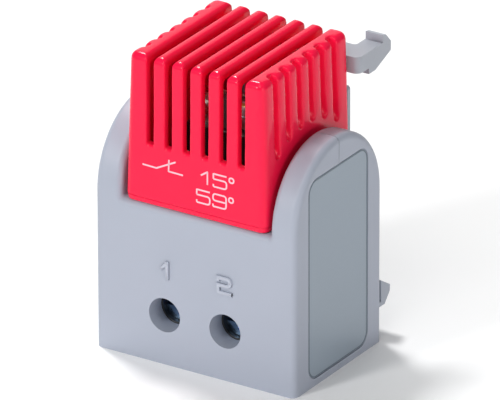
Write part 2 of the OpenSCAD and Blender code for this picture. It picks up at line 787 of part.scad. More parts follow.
// the bar on the left ends beside the bimetal strip and carries the fixed contact
module contact_bar() color([0.80, 0.79, 0.76])
    difference() {
        block([-term_pitch / 2 - bar_w / 2, bar_y, bar_low],
              [bar_w / 2 - term_pitch / 2, bar_back, strip_z + strip_h]);
        rod_y(-term_pitch / 2, strip_mid, bar_y - over, bar_back + over, contact_shank_d + 2 * slide);
    }

// the bar on the right widens above the column into a flag that holds the strip's clamp
module bimetal_bar() color([0.80, 0.79, 0.76])
    difference() {
        union() {
            block([term_pitch / 2 - bar_w / 2, bar_y, bar_low],
                  [term_pitch / 2 + bar_w / 2, bar_back, strip_z + over]);
            block([flag_x, bar_y, strip_z], [clamp_end_x, bar_back, strip_z + strip_h]);
        }
        rivet_holes(bar_y - over, bar_back + over);
        rod_y(cal_x, cal_z, bar_y - over, bar_back + over, cal_d + 2 * slide);
    }

module rivet_holes(y0, y1)
    for (s = [-1, 1]) rod_y(rivet_x, strip_mid + s * rivet_pitch / 2, y0, y1, rivet_d + 2 * slide);

module fixed_contact() color("silver") {
    rod_y(-term_pitch / 2, strip_mid, bar_back, bar_back + contact_t, contact_d);
    rod_y(-term_pitch / 2, strip_mid, bar_y - rivet_head_t, bar_back + contact_t / 2, contact_shank_d);
    rod_y(-term_pitch / 2, strip_mid, bar_y - rivet_head_t, bar_y, rivet_head_d);
}

module moving_contact() color("silver") {
    rod_y(-term_pitch / 2, strip_mid, strip_y - contact_t, strip_y, contact_d);
    rod_y(-term_pitch / 2, strip_mid, strip_y - contact_t / 2, strip_back + rivet_head_t, contact_shank_d);
    rod_y(-term_pitch / 2, strip_mid, strip_back, strip_back + rivet_head_t, rivet_head_d);
}

module bimetal_strip() color([0.80, 0.78, 0.72])
    difference() {
        block([strip_tip_x, strip_y, strip_z], [strip_root_x, strip_back, strip_z + strip_h]);
        rod_y(-term_pitch / 2, strip_mid, strip_y - over, strip_back + over, contact_shank_d + 2 * slide);
        rod_y(magnet_x, strip_mid, strip_y - over, strip_back + over, rivet_d + 2 * slide);
    }

module bimetal_clamp() color([0.82, 0.81, 0.78])
    difference() {
        block([clamp_x, bar_back, strip_z], [clamp_end_x, clamp_back, strip_z + strip_h]);
        block([clamp_x - over, strip_y - slide, strip_z - over],
              [strip_root_x + slide, strip_back + slide, strip_z + strip_h + over]);
        rivet_holes(bar_back - over, clamp_back + over);
    }

module clamp_rivets() color([0.85, 0.83, 0.78])
    for (s = [-1, 1]) {
        z = strip_mid + s * rivet_pitch / 2;
        rod_y(rivet_x, z, bar_y - rivet_head_t, clamp_back + rivet_head_t, rivet_d);
        rod_y(rivet_x, z, bar_y - rivet_head_t, bar_y, rivet_pitch - fit);
        rod_y(rivet_x, z, clamp_back, clamp_back + rivet_head_t, rivet_pitch - fit);
    }

module armature() color([0.60, 0.60, 0.60])
    difference() {
        block([magnet_x - armature_w / 2, strip_y - armature_t, strip_z],
              [magnet_x + armature_w / 2, strip_y, strip_z + strip_h]);
        rod_y(magnet_x, strip_mid, strip_y - over, strip_y + over, rivet_d + 2 * slide);
    }

module armature_rivet() color([0.85, 0.83, 0.78]) {
    rod_y(magnet_x, strip_mid, strip_y - armature_t, strip_back + rivet_head_t, rivet_d);
    rod_y(magnet_x, strip_mid, strip_back, strip_back + rivet_head_t, rivet_head_d);
}

module magnet() color([0.30, 0.30, 0.32])
    block([magnet_x - magnet_w / 2, magnet_y, column_z - magnet_seat],
          [magnet_x + magnet_w / 2, magnet_y + magnet_t, strip_z + strip_h]);

module calibration_screw() color([0.88, 0.86, 0.80])
    difference() {
        union() {
            rod_y(cal_x, cal_z, bar_y - nut_t - slide - cal_head_t, bar_y - nut_t - slide, cal_head_d);
            rod_y(cal_x, cal_z, bar_y - nut_t - cal_head_t / 2, strip_y - cal_tip_gap, cal_d);
        }
        translate([cal_x, bar_y - nut_t - slide - cal_head_t, cal_z])
            cube([cal_head_d + over, cal_head_t, cal_slot_w], center = true);
    }

module calibration_nut() color([0.85, 0.70, 0.35])
    difference() {
        translate([cal_x, bar_y - nut_t, cal_z]) rotate([-90, 0, 0])
            cylinder(h = nut_t, d = nut_af / cos(30), $fn = 6);
        rod_y(cal_x, cal_z, bar_y - nut_t - over, bar_y + over, cal_d + 2 * slide);
    }

housing();
rear_cover();
vent_cap();
side_label();
rail_latch();
latch_springs();
cover_screws();
carrier();
terminal_screw_1();
terminal_screw_2();
clamp_cage_1();
clamp_cage_2();
contact_bar();
bimetal_bar();
fixed_contact();
moving_contact();
bimetal_strip();
bimetal_clamp();
clamp_rivets();
armature();
armature_rivet();
magnet();
calibration_screw();
calibration_nut();
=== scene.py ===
import bpy
import bmesh
import math
from mathutils import Matrix, Vector


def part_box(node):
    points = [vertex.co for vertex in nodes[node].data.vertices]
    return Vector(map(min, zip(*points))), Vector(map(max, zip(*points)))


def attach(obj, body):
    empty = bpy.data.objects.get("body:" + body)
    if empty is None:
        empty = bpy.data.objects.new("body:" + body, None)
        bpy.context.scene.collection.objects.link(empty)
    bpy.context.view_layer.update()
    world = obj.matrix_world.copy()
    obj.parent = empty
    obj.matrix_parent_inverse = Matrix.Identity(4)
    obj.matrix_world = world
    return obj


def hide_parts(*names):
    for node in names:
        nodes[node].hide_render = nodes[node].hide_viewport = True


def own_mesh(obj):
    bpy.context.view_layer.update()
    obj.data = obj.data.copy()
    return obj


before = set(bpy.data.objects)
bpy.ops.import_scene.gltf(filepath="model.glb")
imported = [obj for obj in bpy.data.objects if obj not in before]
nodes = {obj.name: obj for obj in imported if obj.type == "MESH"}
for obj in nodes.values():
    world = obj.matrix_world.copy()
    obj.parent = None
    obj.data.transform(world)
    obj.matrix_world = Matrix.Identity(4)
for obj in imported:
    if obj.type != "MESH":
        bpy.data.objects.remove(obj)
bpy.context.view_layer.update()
mm = 0.001
weldDistance = 0.001 * mm    # vertices nearer than this are one
print("frame loaded:", len(nodes), "CAD nodes")


# the camera stands where the photograph was taken
camera = {
    "azimuth": 32.41,       # degrees round the object, from straight in front
    "elevation": 24.645,    # degrees above the horizontal
    "roll": -0.12,          # degrees
    "target": (3.16, -2.0, 23.614),   # mm
    "distance": 1500,       # mm, far enough to make the edges as parallel as the photograph's
    "pixelsPerMm": 7.174,   # at the target
    "imageWidth": 500,      # pixels
    "sensor": 36,           # mm
    "nearest": 0.1, "farthest": 20,   # metres
}


def buildCamera():
    azimuth, elevation, roll = (math.radians(camera[key]) for key in ("azimuth", "elevation", "roll"))
    back = Vector((math.sin(azimuth) * math.cos(elevation), -math.cos(azimuth) * math.cos(elevation),
                   math.sin(elevation)))
    right = Vector((math.cos(azimuth), math.sin(azimuth), 0))
    up = back.cross(right)
    tiltedRight = math.cos(roll) * right + math.sin(roll) * up
    tiltedUp = math.cos(roll) * up - math.sin(roll) * right
    lens = bpy.data.cameras.new("photoCamera")
    lens.sensor_width = camera["sensor"]
    lens.lens = camera["pixelsPerMm"] * camera["distance"] / camera["imageWidth"] * camera["sensor"]
    lens.clip_start = camera["nearest"]
    lens.clip_end = camera["farthest"]
    eye = bpy.data.objects.new("photoCamera", lens)
    bpy.context.scene.collection.objects.link(eye)
    spot = (Vector(camera["target"]) + back * camera["distance"]) * mm
    turn = Matrix((tiltedRight, tiltedUp, back)).transposed().to_4x4()
    eye.matrix_world = Matrix.Translation(spot) @ turn
    bpy.context.scene.camera = eye


buildCamera()
print("camera placed")


# small helpers

def fromHex(code):
    # sRGB hex to linear, with alpha
    channels = [int(code[i:i + 2], 16) / 255 for i in (0, 2, 4)]
    return tuple(c / 12.92 if c <= 0.04045 else ((c + 0.055) / 1.055) ** 2.4 for c in channels) + (1.0,)


def addNode(tree, kind, settings=None, links=None):
    node = tree.nodes.new(kind)
    for name, value in (settings or {}).items():
        if isinstance(name, int) or name in node.inputs:
            node.inputs[name].default_value = value
        else:
            setattr(node, name, value)
    for socket, source in (links or {}).items():
        tree.links.new(source, node.inputs[socket])
    return node


def newMaterial(name):
    material = bpy.data.materials.new(name)
    material.use_nodes = True
    tree = material.node_tree
    tree.nodes.clear()
    shader = addNode(tree, "ShaderNodeBsdfPrincipled")
    addNode(tree, "ShaderNodeOutputMaterial", links={"Surface": shader.outputs["BSDF"]})
    place = addNode(tree, "ShaderNodeTexCoord").outputs["Object"]
    return material, tree, shader, place


def perMillimetre(size):
    # texture scale that gives one feature in size mm
    return 1 / (size * mm)


def paint(material, *names):
    for name in names:
        piece = nodes[name]
        piece.data.materials.clear()
        piece.data.materials.append(material)


def meshFrom(bm, name):
    bmesh.ops.recalc_face_normals(bm, faces=bm.faces)
    mesh = bpy.data.meshes.new(name)
    bm.to_mesh(mesh)
    bm.free()
    return mesh


def linkPiece(name, mesh, body, material):
    piece = bpy.data.objects.new(name, mesh)
    bpy.context.scene.collection.objects.link(piece)
    mesh.materials.clear()
    mesh.materials.append(material)
    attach(piece, body)
    return piece


def evaluatedMesh(piece):
    graph = bpy.context.evaluated_depsgraph_get()
    return bpy.data.meshes.new_from_object(piece.evaluated_get(graph), depsgraph=graph)


def applied(piece):
    # gives the piece a mesh with all its modifiers in it
    mesh = evaluatedMesh(piece)
    piece.modifiers.clear()
    old = piece.data
    piece.data = mesh
    bpy.data.meshes.remove(old)
    return mesh


def addModifier(piece, name, kind, settings):
    modifier = piece.modifiers.new(name, kind)
    for key, value in settings.items():
        setattr(modifier, key, value)


# materials

mixFactor, mixFirst, mixSecond, mixResult = 0, 6, 7, 2    # sockets of a Mix node that mixes colours


def mouldedPlastic(name, look):
    # a pigmented thermoplastic out of a fine-eroded mould: an even colour with faint flow
    # clouding, and a tiny grain that widens the highlight
    material, tree, shader, place = newMaterial(name)
    clouds = addNode(tree, "ShaderNodeTexNoise",
                     {"Scale": perMillimetre(look["cloudSize"]), "Detail": look["cloudDetail"]},
                     {"Vector": place})
    colour = addNode(tree, "ShaderNodeMix",
                     {"data_type": "RGBA", mixFirst: fromHex(look["colour"]),
                      mixSecond: fromHex(look["cloudColour"])},
                     {mixFactor: clouds.outputs["Fac"]})
    tree.links.new(colour.outputs[mixResult], shader.inputs["Base Color"])
    sheen = addNode(tree, "ShaderNodeMapRange",
                    {"To Min": look["roughness"] - look["roughnessSpread"],
                     "To Max": look["roughness"] + look["roughnessSpread"]},
                    {"Value": clouds.outputs["Fac"]})
    tree.links.new(sheen.outputs["Result"], shader.inputs["Roughness"])
    grain = addNode(tree, "ShaderNodeTexNoise",
                    {"Scale": perMillimetre(look["grainSize"]), "Detail": look["grainDetail"]},
                    {"Vector": place})
    bump = addNode(tree, "ShaderNodeBump",
                   {"Strength": look["grainStrength"], "Distance": look["grainDepth"] * mm},
                   {"Height": grain.outputs["Fac"]})
    if "seam" in look:
        # where two parts of the mould meet, in one plane, they leave a fine ridge or groove
        seam = look["seam"]
        axes = addNode(tree, "ShaderNodeSeparateXYZ", links={"Vector": place})
        offset = addNode(tree, "ShaderNodeMath", {"operation": "SUBTRACT", 1: seam["at"] * mm},
                         {0: axes.outputs[seam["axis"]]})
        away = addNode(tree, "ShaderNodeMath", {"operation": "ABSOLUTE"}, {0: offset.outputs["Value"]})
        ridge = addNode(tree, "ShaderNodeMapRange",
                        {"From Min": 0.0, "From Max": seam["width"] / 2 * mm, "To Min": 1.0, "To Max": 0.0},
                        {"Value": away.outputs["Value"]})
        bump = addNode(tree, "ShaderNodeBump", {"Strength": 1.0, "Distance": seam["rise"] * mm},
                       {"Height": ridge.outputs["Result"], "Normal": bump.outputs["Normal"]})
    tree.links.new(bump.outputs["Normal"], shader.inputs["Normal"])
    shader.inputs["IOR"].default_value = look["ior"]
    shader.inputs["Specular IOR Level"].default_value = look["specular"]
    return material


# cold grey ABS with a matt sheen, from an eroded mould; sizes in mm, and the grain, a few hundredths
# in the real mould, is drawn coarser so that it shows
housingPlastic = {
    "colour": "abb1bf", "cloudColour": "a7adbb", "cloudSize": 9, "cloudDetail": 3,
    "roughness": 0.46, "roughnessSpread": 0.04, "ior": 1.5, "specular": 0.5,
    "grainSize": 0.16, "grainDetail": 2, "grainStrength": 0.25, "grainDepth": 0.02,
}
# the same ABS with the fine line that the two halves of the mould leave over the ears
partedPlastic = dict(housingPlastic, seam={"axis": "Y", "at": 0, "width": 0.34, "rise": 0.13})
# the same ABS where the mould is polished, its colour painted a shade lighter than the housing's: a painted
# highlight where the raised figures catch a little more light
numeralPlasticPaintedLighter = dict(housingPlastic, colour="b8bdca", cloudColour="b4b9c6", roughness=0.3)
# the cover's ABS comes from another mould and is a shade darker
coverPlastic = dict(housingPlastic, colour="a7adb8", cloudColour="a2a8b4")
# moulded acetal: slippery, so its highlights are a little tighter than the ABS's
latchPlastic = dict(housingPlastic, colour="b0b4bd", cloudColour="aaafb9", roughness=0.4)
# polished polycarbonate in a strong red: soft narrow glints along its rounded edges, and a fine
# sunk line along its foot
capPlastic = dict(
    housingPlastic, colour="ff1a48", cloudColour="fc1544", cloudSize=6, roughness=0.17, roughnessSpread=0.02,
    specular=0.24, grainSize=0.4, grainStrength=0.05,
    seam={"axis": "Z", "at": 24.75, "width": 0.22, "rise": -0.1})
# filled phenolic: near black, with a dull sheen that its filler breaks up
carrierPlastic = dict(
    housingPlastic, colour="1c1c1f", cloudColour="242427", cloudSize=4, roughness=0.42, roughnessSpread=0.05,
    ior=1.54, grainSize=0.12, grainStrength=0.35)


def brushedMetal(name, look):
    # rolled or drawn metal: fine lines along one direction that stretch the highlight
    material, tree, shader, place = newMaterial(name)
    stretch = addNode(tree, "ShaderNodeMapping", {"Scale": look["grainStretch"]}, {"Vector": place})
    lines = addNode(tree, "ShaderNodeTexNoise",
                    {"Scale": perMillimetre(look["lineSpacing"]), "Detail": look["lineDetail"]},
                    {"Vector": stretch.outputs["Vector"]})
    tarnish = addNode(tree, "ShaderNodeTexNoise",
                      {"Scale": perMillimetre(look["tarnishSize"]), "Detail": look["tarnishDetail"]},
                      {"Vector": place})
    colour = addNode(tree, "ShaderNodeMix",
                     {"data_type": "RGBA", mixFirst: fromHex(look["colour"]),
                      mixSecond: fromHex(look["tarnishColour"])},
                     {mixFactor: tarnish.outputs["Fac"]})
    tree.links.new(colour.outputs[mixResult], shader.inputs["Base Color"])
    sheen = addNode(tree, "ShaderNodeMapRange",
                    {"To Min": look["roughness"] - look["roughnessSpread"],
                     "To Max": look["roughness"] + look["roughnessSpread"]},
                    {"Value": lines.outputs["Fac"]})
    tree.links.new(sheen.outputs["Result"], shader.inputs["Roughness"])
    bump = addNode(tree, "ShaderNodeBump",
                   {"Strength": look["lineStrength"], "Distance": look["lineDepth"] * mm},
                   {"Height": lines.outputs["Fac"]})
    tree.links.new(bump.outputs["Normal"], shader.inputs["Normal"])
    shader.inputs["Metallic"].default_value = 1.0
    return material


# zinc plate on rolled steel: a light cool grey with soft streaks; sizes in mm, and the rolling lines
# are drawn coarser than real ones so that they show
rolledZinc = {
    "colour": "c9ccd1", "tarnishColour": "b4b8bf", "tarnishSize": 1.5, "tarnishDetail": 2,
    "roughness": 0.32, "roughnessSpread": 0.08,
    "lineSpacing": 0.08, "lineDetail": 4, "grainStretch": (1, 1, 0.15),
    "lineStrength": 0.3, "lineDepth": 0.01,
}
# zinc passivated blue: cold blue glints at the bottom of the screw holes
bluedZinc = dict(rolledZinc, colour="a6c6ea", tarnishColour="7f9fc4", roughness=0.2)
# hard-drawn spring wire: darker than zinc, with a tight highlight along each turn
springWire = dict(rolledZinc, colour="a9abb0", tarnishColour="94969c", tarnishSize=0.8, roughness=0.25)
# tin over stamped brass: a warm light grey
tinnedBrass = dict(rolledZinc, colour="c9c7c2", tarnishColour="b5b2aa", tarnishSize=2, roughness=0.3)
# turned brass: yellow, with brown tarnish in patches
turnedBrass = dict(rolledZinc, colour="d9bb74", tarnishColour="c29f58", tarnishSize=2, roughness=0.3)
# contact silver: almost white and bright
contactSilver = dict(rolledZinc, colour="e4e3df", tarnishColour="cfcdc6", tarnishSize=0.6, roughness=0.22)
# rolled bimetal: a pale, slightly yellow nickel iron, its lines along the strip
rolledBimetal = dict(rolledZinc, colour="d8d2c8", tarnishColour="c4bba8", tarnishSize=1.2, roughness=0.28,
                     grainStretch=(0.1, 1, 1))
# nickel-plated rivets: warm white and glossy
nickelRivet = dict(rolledZinc, colour="d6d3cc", tarnishColour="c2beb5", tarnishSize=0.7, roughness=0.2)
# soft iron: a plain mid grey, nearly dull
softIron = dict(rolledZinc, colour="8e8e90", tarnishColour="77777a", tarnishSize=1, roughness=0.42)


def grainedSurface(name, look):
    # one noise gives both the colour's wander and, where the look has a depth, the relief
    material, tree, shader, place = newMaterial(name)
    grain = addNode(tree, "ShaderNodeTexNoise",
                    {"Scale": perMillimetre(look["grainSize"]), "Detail": look["grainDetail"]},
                    {"Vector": place})
    colour = addNode(tree, "ShaderNodeMix",
                     {"data_type": "RGBA", mixFirst: fromHex(look["colour"]),
                      mixSecond: fromHex(look["grainColour"])},
                     {mixFactor: grain.outputs["Fac"]})
    tree.links.new(colour.outputs[mixResult], shader.inputs["Base Color"])
    if "grainDepth" in look:
        bump = addNode(tree, "ShaderNodeBump",
                       {"Strength": look["grainStrength"], "Distance": look["grainDepth"] * mm},
                       {"Height": grain.outputs["Fac"]})
        tree.links.new(bump.outputs["Normal"], shader.inputs["Normal"])
    shader.inputs["Roughness"].default_value = look["roughness"]
    shader.inputs["IOR"].default_value = look["ior"]
    return material


# pressed and sintered ferrite: dull charcoal with a sandy grain; sizes in mm
ferriteBlock = {
    "colour": "2c2c2f", "grainColour": "45454a", "grainSize": 0.15, "grainDetail": 4,
    "grainStrength": 0.5, "grainDepth": 0.02, "roughness": 0.6, "ior": 1.5,
}
# matt-varnished polyester film: a shade cooler than the plastic, with a soft even sheen
labelSheet = {
    "colour": "95a2af", "grainColour": "909daa", "grainSize": 0.3, "grainDetail": 2,
    "grainStrength": 0.15, "grainDepth": 0.01, "roughness": 0.34, "ior": 1.55,
}
# pad-printed white ink: thin and slightly uneven, so that the red under it tints it pink
capInk = {
    "colour": "f7cdd8", "grainColour": "f0b9c8", "grainSize": 0.5, "grainDetail": 3,
    "roughness": 0.45, "ior": 1.5,
}
# a painted shadow along the label's edge, where the gap round its recess falls in shade: a thin line, darker
# than the label and a little uneven
labelEdgePaintedShadow = dict(capInk, colour="5a6670", grainColour="6b7884")


greyHousing = mouldedPlastic("mouldedAbsHousing", partedPlastic)
numeralsPaintedHighlight = mouldedPlastic("polishedAbsNumeralsPaintedHighlight", numeralPlasticPaintedLighter)
greyCover = mouldedPlastic("mouldedAbsCover", coverPlastic)
greyLatch = mouldedPlastic("mouldedAcetalLatch", latchPlastic)
redCap = mouldedPlastic("mouldedPolycarbonateCap", capPlastic)
blackCarrier = mouldedPlastic("mouldedPhenolicCarrier", carrierPlastic)
zincPlate = brushedMetal("zincPlatedSteel", rolledZinc)
bluedPlate = brushedMetal("bluePassivatedSteel", bluedZinc)
springSteel = brushedMetal("drawnSpringSteel", springWire)
tinned = brushedMetal("tinnedBrass", tinnedBrass)
brass = brushedMetal("turnedBrass", turnedBrass)
silver = brushedMetal("contactSilver", contactSilver)
bimetal = brushedMetal("rolledBimetal", rolledBimetal)
rivetNickel = brushedMetal("nickelPlatedRivet", nickelRivet)
iron = brushedMetal("softIron", softIron)
ferrite = grainedSurface("sinteredFerrite", ferriteBlock)
labelFilm = grainedSurface("satinPolyesterFilm", labelSheet)
markInk = grainedSurface("padPrintInkWhite", capInk)
edgeShadowPaint = grainedSurface("paintedLabelEdgeShadow", labelEdgePaintedShadow)

paint(greyHousing, "housing")
paint(greyCover, "rear_cover")
paint(greyLatch, "rail_latch")
paint(labelFilm, "side_label")
paint(blackCarrier, "carrier")
paint(zincPlate, "cover_screws", "clamp_cage_1", "clamp_cage_2", "calibration_screw")
paint(bluedPlate, "terminal_screw_1", "terminal_screw_2")
paint(tinned, "contact_bar", "bimetal_bar", "bimetal_clamp")
paint(brass, "calibration_nut")
paint(silver, "fixed_contact", "moving_contact")
paint(bimetal, "bimetal_strip")
paint(rivetNickel, "clamp_rivets", "armature_rivet")
paint(iron, "armature")
paint(ferrite, "magnet")
print("materials made and CAD nodes painted")


# the vent cap: the CAD form with every edge rounded, as the mould leaves it; lengths in mm
ventCap = {
    "voxel": 0.12,
    "smoothRounds": 12, "smoothFactor": 0.5,
    "keepShare": 0.2,       # share of the faces kept after the rounding
    "grooves": 6, "groovePitch": 3.05, "grooveHalf": 0.6,    # blind grooves in each side
    "grooveMore": 0.5,      # how much deeper the grooves get
    "ribRound": 0.16,       # how far the ribs between them fall away from their middle
    "grooveReach": 1.15,    # how far behind the side face vertices still move
    "arcCentre": 24.1, "arcRadius": 13,    # the grooves end on an arc above the ear
    "arcFade": 0.9,         # over this they get their full added depth
    "topBand": 2,           # under the top the grooves also go down, where they cut its edge
    "sideFoot": 23.9, "sideLean": 0.6 / 22.5,    # Z where the side is widest, and its lean per mm
}


def clamped(value):
    return min(max(value, 0), 1)


def groovePush(y, z):
    # how far the side face goes in at a place, in mm
    pitch, last = ventCap["groovePitch"], (ventCap["grooves"] - 1) / 2
    # the grooves lie at odd halves of the pitch from the middle
    row = min(max(round(y / pitch - 0.5) + 0.5, -last), last) * pitch
    away = abs(y - row)
    foot = ventCap["arcCentre"] + math.sqrt(ventCap["arcRadius"] ** 2 - row ** 2)
    fade = clamped((z - foot) / ventCap["arcFade"])
    rib = (1 + math.cos(2 * math.pi * min(away / pitch, 0.5))) / 2
    groove = max(1 - (away / ventCap["grooveHalf"]) ** 2, 0)
    return fade * (ventCap["ribRound"] * rib + ventCap["grooveMore"] * groove)


def deepenGrooves(mesh):
    # the rounding that follows half fills the narrow grooves, so they are cut deeper first
    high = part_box("vent_cap")[1]
    top, half = high[2] / mm, high[0] / mm
    for vertex in mesh.vertices:
        x, y, z = vertex.co / mm
        side = half - ventCap["sideLean"] * (z - ventCap["sideFoot"])
        if abs(x) > side - ventCap["grooveReach"]:
            push = groovePush(y, z)
            down = clamped((z - top + ventCap["topBand"]) / ventCap["topBand"])
            vertex.co += Vector((-math.copysign(push, x), 0, -push * down)) * mm


def buildVentCap():
    piece = linkPiece("ventCap", nodes["vent_cap"].data.copy(), "frame", redCap)
    addModifier(piece, "weld", "WELD", {"merge_threshold": weldDistance})
    addModifier(piece, "fineSkin", "REMESH", {"mode": "VOXEL", "voxel_size": ventCap["voxel"] * mm})
    deepenGrooves(applied(piece))
    addModifier(piece, "rounding", "SMOOTH",
                {"factor": ventCap["smoothFactor"], "iterations": ventCap["smoothRounds"]})
    addModifier(piece, "fewerFaces", "DECIMATE", {"ratio": ventCap["keepShare"]})
    applied(piece).shade_smooth()
    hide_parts("vent_cap")
    print("vent cap:", len(piece.data.polygons), "faces")


buildVentCap()


# the latch springs: two open coils of drawn wire; lengths in mm
latchSprings = {
    "turns": 7, "pointsPerTurn": 16, "wireRoundness": 3,
    "wire": 0.35, "outer": 1.8, "apart": 3.6,
    "travel": 1.6,          # of the latch, which presses them together
}


def coilMesh(name, centreX, centreY, bottom, length):
    radius = (latchSprings["outer"] - latchSprings["wire"]) / 2 * mm
    wire = latchSprings["wire"] / 2 * mm
    curve = bpy.data.curves.new(name, "CURVE")
    curve.dimensions = "3D"
    curve.bevel_depth = wire
    curve.bevel_resolution = latchSprings["wireRoundness"]
    curve.use_fill_caps = True
    steps = latchSprings["turns"] * latchSprings["pointsPerTurn"]
    line = curve.splines.new("POLY")
    line.points.add(steps)
    for i, point in enumerate(line.points):
        angle = 2 * math.pi * i / latchSprings["pointsPerTurn"]
        height = bottom + wire + i / steps * (length - 2 * wire)
        point.co = (centreX + radius * math.cos(angle), centreY + radius * math.sin(angle), height, 1)
    coil = bpy.data.objects.new(name, curve)
    bpy.context.scene.collection.objects.link(coil)
    mesh = evaluatedMesh(coil)
    bpy.data.objects.remove(coil)
    mesh.name = name
    mesh.shade_smooth()
    return mesh


def buildLatchSprings():
    low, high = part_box("latch_springs")
    length = high[2] - low[2]
    centreY = (low[1] + high[1]) / 2
    for name, side in (("latchSpringLeft", -1), ("latchSpringRight", 1)):
        centreX = side * latchSprings["apart"] / 2 * mm
        piece = linkPiece(name, coilMesh(name, centreX, centreY, low[2], length), "frame",
                          springSteel)
        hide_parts("latch_springs")
        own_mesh(piece)


buildLatchSprings()
print("latch springs wound")


# lines laid on a front face, for the printed marks and the raised numerals

arcSteps = 6    # along a rounded corner


def roundedPath(points, radius, closed=False):
    # a polyline with arcs at its corners; a point may bring its own radius
    path = []
    count = len(points)
    for i, point in enumerate(points):
        here = Vector(point[:2])
        if not closed and i in (0, count - 1):
            path.append(here)
            continue
        before = Vector(points[i - 1][:2]) - here
        after = Vector(points[(i + 1) % count][:2]) - here
        reach = min(point[2] if len(point) > 2 else radius, before.length / 2, after.length / 2)
        start, end = here + before.normalized() * reach, here + after.normalized() * reach
        for k in range(arcSteps + 1):
            t = k / arcSteps
            path.append(start * (1 - t) ** 2 + here * 2 * t * (1 - t) + end * t ** 2)
    return path


def ribbon(bm, path, profile, faceY, closed=False):
    # a line along a path in X and Z on a front face; the profile is in pairs of across and out
    count = len(path)
    rows = []
    for i, point in enumerate(path):
        before = path[i - 1] if (i or closed) else point
        after = path[(i + 1) % count] if (i < count - 1 or closed) else point
        along = (after - before).normalized()
        sideways = Vector((-along.y, along.x))
        row = []
        for across, out in profile:
            spot = point + sideways * across
            row.append(bm.verts.new(Vector((spot.x, faceY(spot.y) - out, spot.y)) * mm))
        rows.append(row)
    sides = len(profile)
    for i in range(count if closed else count - 1):
        first, second = rows[i], rows[(i + 1) % count]
        for k in range(sides):
            bm.faces.new((first[k], first[(k + 1) % sides], second[(k + 1) % sides], second[k]))
    if not closed:
        bm.faces.new(rows[0][::-1])
        bm.faces.new(rows[-1])


# the printed marks on the cap: a contact symbol and two plain degree figures; lengths in mm
capMarks = {
    "line": 0.24,           # width of a printed line
    "rise": 0.02,           # thickness of the ink
    "cornerRadius": 0.45,
    "sharpRadius": 0.05,    # at the one corner of a stroke of three points
    "plane": {"footY": -11.3, "footZ": 24.7, "lean": 0.25 / 21.7},   # the cap's front, lean per mm
    # a switch arm on its fixed contact, in X and Z
    "symbol": (((-8.65, 29.85), (-6.35, 29.78), (-3.2, 31.4)),
               ((-4.28, 31.5), (-4.36, 29.75), (-1.98, 29.7))),
    # figures, Z of their feet, X of each figure's left side
    "rows": (("15", 29.25, (0.97, 3.03)), ("59", 26.25, (0.3, 2.98))),
    "figureHeight": 1.92, "figureWidth": 2.15, "degreeSize": 0.72, "degreeGap": 0.45,
    # shares of a figure's height: the 1's flag, the 5's and the 9's waist off the middle, the tail's end
    "flagDrop": 0.38, "fiveWaist": 0.1, "nineWaist": -0.02, "tailEnd": 0.2,
}


def capFrontY(z):
    plane = capMarks["plane"]
    return plane["footY"] + plane["lean"] * (z - plane["footZ"])


def figurePaths(figure, x, z):
    # the strokes of a figure whose lower left corner is at x, z, each with whether it is closed
    width, height = capMarks["figureWidth"], capMarks["figureHeight"]
    top, centre, middle, right = z + height, x + width / 2, z + height / 2, x + width
    tail = [(right, z), (x, z), (x, z + height * capMarks["tailEnd"])]
    if figure == "1":
        return [([(x, top - height * capMarks["flagDrop"]), (centre, top), (centre, z)], False)]
    if figure == "5":
        waist = middle + height * capMarks["fiveWaist"]
        return [([(right, top), (x, top), (x, waist)], False), ([(x, waist), (right, waist)] + tail, False)]
    if figure == "9":
        waist = middle + height * capMarks["nineWaist"]
        return [([(right, waist), (x, waist), (x, top), (right, top)] + tail, False)]
    size = capMarks["degreeSize"]
    return [([(x, top - size), (x + size, top - size), (x + size, top), (x, top)], True)]


def buildCapMarks():
    bm = bmesh.new()
    strokes = [(points, False) for points in capMarks["symbol"]]
    for figures, z, places in capMarks["rows"]:
        for figure, x in zip(figures, places):
            strokes += figurePaths(figure, x, z)
        strokes += figurePaths("degree", places[-1] + capMarks["figureWidth"] + capMarks["degreeGap"], z)
    half, rise = capMarks["line"] / 2, capMarks["rise"]
    profile = ((half, 0), (-half, 0), (-half, rise), (half, rise))
    for points, closed in strokes:
        radius = capMarks["sharpRadius"] if len(points) == 3 else capMarks["cornerRadius"]
        ribbon(bm, roundedPath(points, radius, closed), profile, capFrontY, closed)
    linkPiece("capMarks", meshFrom(bm, "capMarks"), "frame", markInk)


buildCapMarks()
print("marks printed")


# the raised numerals at the screwdriver holes, their strokes rounded as the engraver leaves them;
# lengths in mm
numerals = {
    "face": -11.5,          # Y of the housing's front
    "foot": 13.27,          # Z of the figures' lower ends
    "rise": 0.32, "line": 0.56, "cornerRadius": 0.15,
    # each with the X that it starts from, its points in X and Z and, for a bow, the corner's radius
    "figures": (
        (-4.45, ((-1.0, 1.52), (0, 2.54), (0, 0))),
        (3.74, ((0.27, 1.98), (0.27, 2.53), (2.25, 2.53, 0.6), (2.25, 1.4, 0.6), (0.27, 1.4), (0.27, 0.27),
                (2.52, 0.27))),
    ),
    # a low dome: shares of half the line's width and of the rise
    "domeShares": ((1.0, 0), (1.0, 0.5), (0.72, 0.86), (0.3, 1.0), (-0.3, 1.0), (-0.72, 0.86), (-1.0, 0.5),
                   (-1.0, 0)),
}


def buildNumerals():
    bm = bmesh.new()
    half, rise = numerals["line"] / 2, numerals["rise"]
    profile = [(across * half, out * rise) for across, out in numerals["domeShares"]]
    for left, outline in numerals["figures"]:
        points = [(left + point[0], numerals["foot"] + point[1], *point[2:]) for point in outline]
        ribbon(bm, roundedPath(points, numerals["cornerRadius"]), profile, lambda z: numerals["face"])
    mesh = meshFrom(bm, "numerals")
    mesh.shade_smooth()
    # the figures get the lighter ABS colour, a painted highlight
    linkPiece("numerals", mesh, "frame", numeralsPaintedHighlight)


buildNumerals()
print("numerals raised")


# the thin dark line along the label's edge, a painted shadow of the gap round the label's recess; lengths in
# mm
labelEdgeShadow = {
    "line": 0.2, "inset": 0.05, "rise": 0.012, "cornerRadius": 1.95, "cornerSteps": 12,
}


